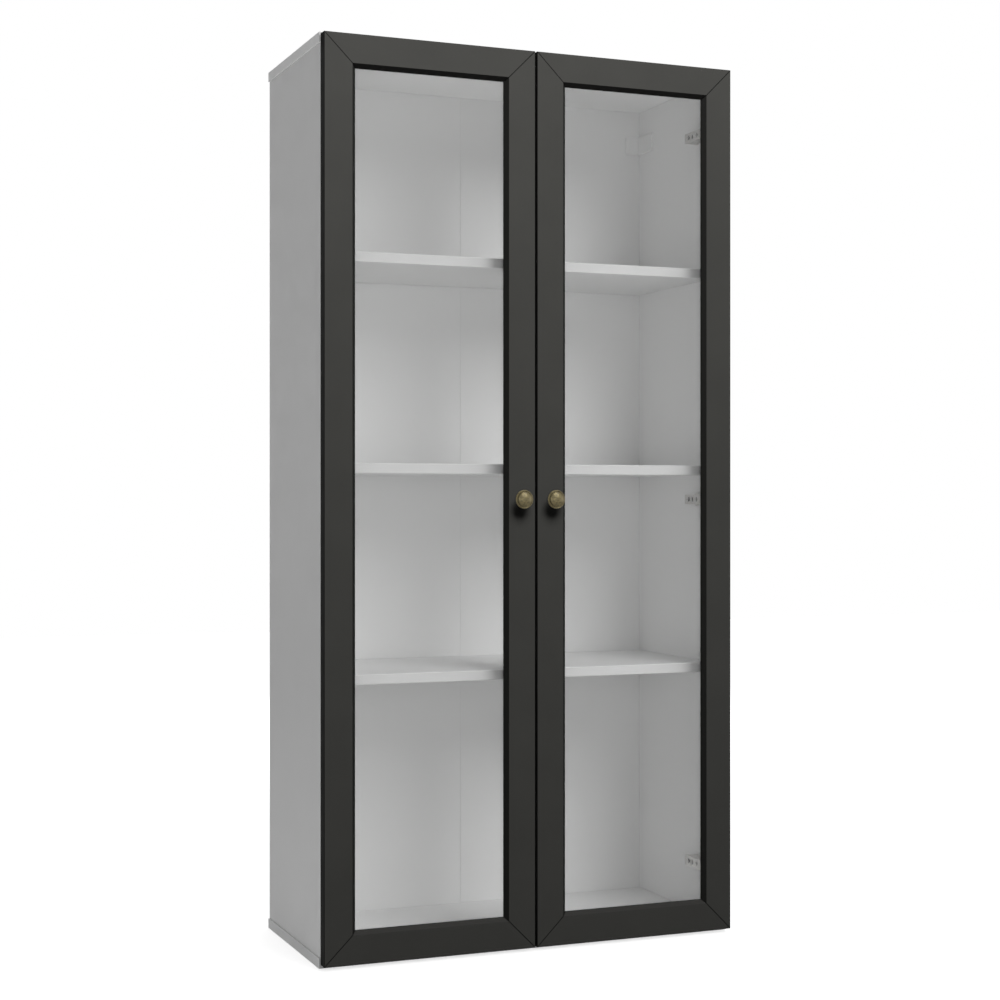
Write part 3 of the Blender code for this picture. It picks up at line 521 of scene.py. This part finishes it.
def knob_profile(rim, reach):
    """Half section from the foot outwards for a knob of that rim radius and reach."""
    rim_height = reach - RIM_BELOW_TOP

    def from_rim(place):
        return rim + place[0], rim_height + place[1]

    profile = [(0.0, KNOB_START), (FOOT_RADIUS, KNOB_START)]
    profile += arc(*FOOT_BEAD)
    profile += arc(*NECK_HOLLOW)
    profile += [NECK_END]
    profile += arc(*NECK_FLARE)
    profile += [from_rim(RIM_BACK)]
    for centre, *bend in (RIM_ROLL, RIM_GROOVE):
        profile += arc(from_rim(centre), *bend)
    shoulder = (rim - CAP_INSET - CAP_SHOULDER, rim_height + CAP_LIFT)
    profile += arc(shoulder, CAP_SHOULDER, 0, CAP_SHOULDER_END, CAP_SHOULDER_STEPS)
    return profile + dome(*profile[-1], reach)


def dome(edge, start, top):
    """Points of a spherical cap inside an edge radius at a start height, up to the top on the axis."""
    rise = top - start
    radius = (edge ** 2 + rise ** 2) / (2 * rise)
    points = []
    for step in range(1, DOME_STEPS):
        out = edge * (1 - step / DOME_STEPS)
        points.append((out, top - radius + math.sqrt(radius ** 2 - out ** 2)))
    return points + [(0.0, top)]


def hammer(solid, seed):
    """Small hammer dents over the knob's face, deepest on the dome."""
    for vert in solid.verts:
        spot = vert.co / HAMMER_SIZE + Vector((seed, 2 * seed, 3 * seed))
        outward = Vector((vert.co.x, vert.co.y, HAMMER_LIFT)).normalized()
        vert.co += outward * HAMMER_DEPTH * noise.noise(spot)


def make_knobs():
    for number, side in enumerate(SIDES):
        node = f"{side}_door_knob"
        low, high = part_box(node)
        rim = (high.x - low.x) / 2
        reach = high.y - low.y + KNOB_START
        solid = turned(knob_profile(rim - HAMMER_DEPTH, reach - HAMMER_DEPTH), KNOB_SEGMENTS)
        hammer(solid, HAMMER_SEED + number)
        knob = object_of(f"{side}_knob_turned", solid, "aged_brass", KNOB_SMOOTH_ANGLE)
        zero = Vector(((low.x + high.x) / 2, high.y + KNOB_START, (low.z + high.z) / 2))
        knob.matrix_world = Matrix.Translation(zero) @ Matrix.Rotation(math.radians(90), 4, "X")
        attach(knob, f"{side}_door")
        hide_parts(node)


def screw_mesh(radius, rise, cross, flank):
    """A head with a cross recess, upright for that share of its rise and domed above, seated at z 0, with
    painted shade on its flanks and recess.
    """
    edge = rise * flank
    profile = [(0.0, 0.0), (radius, 0.0), (radius, edge)]
    for step in range(1, SCREW_DOME_STEPS):
        angle = math.pi / 2 * step / SCREW_DOME_STEPS
        profile.append((radius * math.cos(angle), edge + (rise - edge) * math.sin(angle)))
    profile.append((0.0, rise))
    head = object_of("head", turned(profile, SCREW_SIDES), "nickel_steel")
    tool = object_of("recess", recess_solid(rise, cross), "nickel_steel")
    cut = head.modifiers.new("recess", "BOOLEAN")
    cut.operation = "DIFFERENCE"
    cut.solver = "EXACT"
    cut.use_self = True
    cut.object = tool
    mesh = bpy.data.meshes.new_from_object(head.evaluated_get(bpy.context.evaluated_depsgraph_get()))
    bpy.data.objects.remove(head)
    bpy.data.objects.remove(tool)
    # flanks and the recess take the dark steel: painted shade
    for face in mesh.polygons:
        upright = abs(face.normal.z) < UPRIGHT
        sunk = face.center.xy.length < cross and face.center.z < rise * SUNK_UNDER
        face.material_index = DARK if upright or sunk else PLATED
    return mesh


def recess_solid(rise, cross):
    """Two crossed bars that taper downwards, for the recess of a head with that rise."""
    recess = bmesh.new()
    for crosswise in (False, True):
        rings = []
        for height_share, reach_share, half_share in RECESS_ENDS:
            height = rise * height_share
            reach = cross * reach_share
            half = cross * RECESS_HALF * half_share
            corners = [(-reach, -half), (reach, -half), (reach, half), (-reach, half)]
            if crosswise:
                corners = [(-b, a) for a, b in corners]
            rings.append([recess.verts.new((a, b, height)) for a, b in corners])
        bottom, top = rings
        recess.faces.new(bottom)
        recess.faces.new(top)
        for step in range(4):
            after = (step + 1) % 4
            recess.faces.new((bottom[step], bottom[after], top[after], top[step]))
    return recess


def adjuster_mesh():
    """The threaded spindle that shows through the slot of an arm, its axis along +Z from the rear post."""
    length = ADJUSTER_ENDS[1] - ADJUSTER_ENDS[0]
    turns = round(length / THREAD_PITCH)
    profile = [(0.0, 0.0)]
    for turn in range(turns):
        profile.append((ADJUSTER_RADIUS - THREAD_DEPTH, length * turn / turns))
        profile.append((ADJUSTER_RADIUS, length * (turn + 0.5) / turns))
    profile += [(ADJUSTER_RADIUS - THREAD_DEPTH, length), (0.0, length)]
    spindle = object_of("spindle", turned(profile, SCREW_SIDES), "dark_steel_and_shade", SPINDLE_SMOOTH_ANGLE)
    mesh = spindle.data
    for face in mesh.polygons:
        face.material_index = DARK
    bpy.data.objects.remove(spindle)
    return mesh


def seat(place, facing, turn=0.0):
    """Matrix that takes a mesh to a place, its +Z to a facing, and turns it about that by degrees."""
    return Matrix.Translation(place) @ facing @ Matrix.Rotation(math.radians(turn), 4, "Z")


def placed(places, name, body):
    """One piece of mesh copies, each at its matrix, riding on the body."""
    solid = bmesh.new()
    for mesh, matrix in places:
        copy = mesh.copy()
        copy.transform(matrix)
        solid.from_mesh(copy)
        bpy.data.meshes.remove(copy)
    piece = object_of(name, solid, "nickel_steel")
    piece.data.materials.append(FINISHES["dark_steel_and_shade"])
    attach(piece, body)


def make_screws():
    """Cross-recessed heads on mounting plates, arms and cups' wings, and a spindle in each arm."""
    plate_head = screw_mesh(**PLATE_SCREW)
    wing_head = screw_mesh(**WING_SCREW)
    arm_heads = [screw_mesh(**screw) for screw in ARM_SCREWS]
    adjuster = adjuster_mesh()
    frontward = Matrix.Rotation(math.radians(90), 4, "X")
    rearward = Matrix.Rotation(math.radians(-90), 4, "X")
    for side, sign in SIDES.items():
        inward = Matrix.Rotation(math.radians(-90 * sign), 4, "Y")
        plate_x = sign * (CARCASS_SIDE - PLATE_FACE)
        wing_x = sign * (CARCASS_SIDE - WING_FROM_SIDE)
        for level in LEVELS:
            low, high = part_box(f"{side}_{level}_hinge_arm")
            middle = (low.z + high.z) / 2
            arm_x = low.x if sign > 0 else high.x
            places = []
            for up, turn in PLATE_SCREW_PLACES:
                place = Vector((plate_x, high.y - PLATE_SCREW_FORWARD, middle + up))
                places.append((plate_head, seat(place, inward, turn)))
            placed(places, f"{side}_{level}_plate_screws", "carcass")
            places = []
            for head, (forward, turn) in zip(arm_heads, ARM_SCREW_PLACES):
                place = Vector((arm_x, high.y - forward, middle))
                places.append((head, seat(place, inward, turn)))
            rear_post = Vector((arm_x + sign * ADJUSTER_DEPTH, high.y - ADJUSTER_ENDS[0], middle))
            places.append((adjuster, seat(rear_post, frontward)))
            placed(places, f"{side}_{level}_arm_screws", "carcass")
            low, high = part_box(f"{side}_{level}_hinge_cup")
            places = []
            for up, turn in WING_SCREW_PLACES:
                place = Vector((wing_x, high.y, middle + up))
                places.append((wing_head, seat(place, rearward, turn)))
            placed(places, f"{side}_{level}_cup_screws", f"{side}_door")


# Studio

def make_studio():
    bpy.context.scene.view_settings.view_transform = "Standard"
    make_camera()
    make_world()
    for name, lamp in LAMPS.items():
        area_light(name, **lamp)
    make_floor()


def make_camera():
    scene = bpy.context.scene
    camera_data = bpy.data.cameras.new("camera")
    camera_data.lens = CAMERA_LENS
    camera_data.sensor_width = CAMERA_SENSOR
    camera = bpy.data.objects.new("camera", camera_data)
    camera.location = CAMERA_PLACE
    camera.rotation_euler = (math.radians(90), 0.0, -math.radians(CAMERA_TURN))
    scene.collection.objects.link(camera)
    scene.camera = camera


def make_world():
    """Even soft light in front of a background that shows white."""
    world = bpy.data.worlds.new("studio")
    bpy.context.scene.world = world
    world.use_nodes = True
    tree = world.node_tree
    lamp = tree.nodes["Background"]
    seen = tree.nodes.new("ShaderNodeBackground")
    for background, strength in ((lamp, AMBIENT), (seen, BACKGROUND)):
        background.inputs["Color"].default_value = WHITE
        background.inputs["Strength"].default_value = strength
    sky = mixed(tree, seen_share(tree), lamp.outputs[0], seen.outputs[0])
    tree.links.new(sky, tree.nodes["World Output"].inputs["Surface"])


def seen_share(tree):
    """1 for rays that show the background: the camera's own, mirrored and through glass."""
    rays = tree.nodes.new("ShaderNodeLightPath").outputs
    both = math_node(tree, "MAXIMUM", rays["Is Camera Ray"], rays["Is Glossy Ray"])
    return math_node(tree, "MAXIMUM", both, rays["Is Transmission Ray"])


def make_floor():
    solid = bmesh.new()
    bmesh.ops.create_grid(solid, x_segments=FLOOR_CELLS, y_segments=FLOOR_CELLS, size=FLOOR_HALF)
    bmesh.ops.translate(solid, verts=solid.verts, vec=(0.0, 0.0, -FLOOR_DROP))
    mesh = bpy.data.meshes.new("floor")
    solid.to_mesh(mesh)
    solid.free()
    mesh.materials.append(pale_floor())
    floor = bpy.data.objects.new("floor", mesh)
    bpy.context.scene.collection.objects.link(floor)


def pale_floor():
    """A pale matt floor that glows for seen rays alone, so that it shows white save for the shadow on it."""
    recipe = Recipe("pale_floor", roughness=0.9, specular=0.1)
    recipe.colour(recipe.blend(recipe.ranged(recipe.speckle(0.5)), *FLOOR_PALES))
    away = recipe.node("ShaderNodeVectorMath", operation="LENGTH")
    recipe.join(recipe.place, away.inputs[0])
    strength = recipe.ranged(away.outputs["Value"], *FLOOR_GLOW, *FLOOR_GLOW_REACH)
    glow = recipe.node("ShaderNodeEmission")
    recipe.join(recipe.math("MULTIPLY", strength, seen_share(recipe.tree)), glow.inputs["Strength"])
    both = recipe.node("ShaderNodeAddShader")
    recipe.join(recipe.shader.outputs[0], both.inputs[0])
    recipe.join(glow.outputs[0], both.inputs[1])
    mirrored = recipe.node("ShaderNodeEmission")
    mirrored.inputs["Strength"].default_value = FLOOR_MIRRORED
    glossy = recipe.node("ShaderNodeLightPath").outputs["Is Glossy Ray"]
    recipe.surface(mixed(recipe.tree, glossy, both.outputs[0], mirrored.outputs[0]))
    return recipe.material


def area_light(name, turn, height, distance, size, power):
    """A soft box of that width and height that faces the cabinet's middle."""
    lamp = bpy.data.lights.new(name, "AREA")
    lamp.shape = "RECTANGLE"
    lamp.size, lamp.size_y = size
    lamp.energy = power
    holder = bpy.data.objects.new(name, lamp)
    aim = Vector(STUDIO_AIM)
    heading = math.radians(turn)
    place = aim + Vector((math.sin(heading), -math.cos(heading), 0.0)) * distance
    place.z = height
    holder.location = place
    holder.rotation_mode = "QUATERNION"
    holder.rotation_quaternion = (aim - place).to_track_quat("-Z", "Y")
    bpy.context.scene.collection.objects.link(holder)
    holder.visible_camera = False
    holder.light_linking.receiver_collection = linked(name, *LAMP_LINKS[name])


def linked(lamp_name, chosen, state):
    """The nodes of the chosen finishes or names, as all that a lamp lights or as what it leaves out."""
    nodes = bpy.data.collections.new(lamp_name + "_nodes")
    for node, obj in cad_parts.items():
        if finish_name(node) in chosen or node in chosen:
            nodes.objects.link(obj)
    for entry in nodes.collection_objects:
        entry.light_linking.link_state = state
    return nodes


dress_frame()
make_knobs()
make_screws()
make_studio()
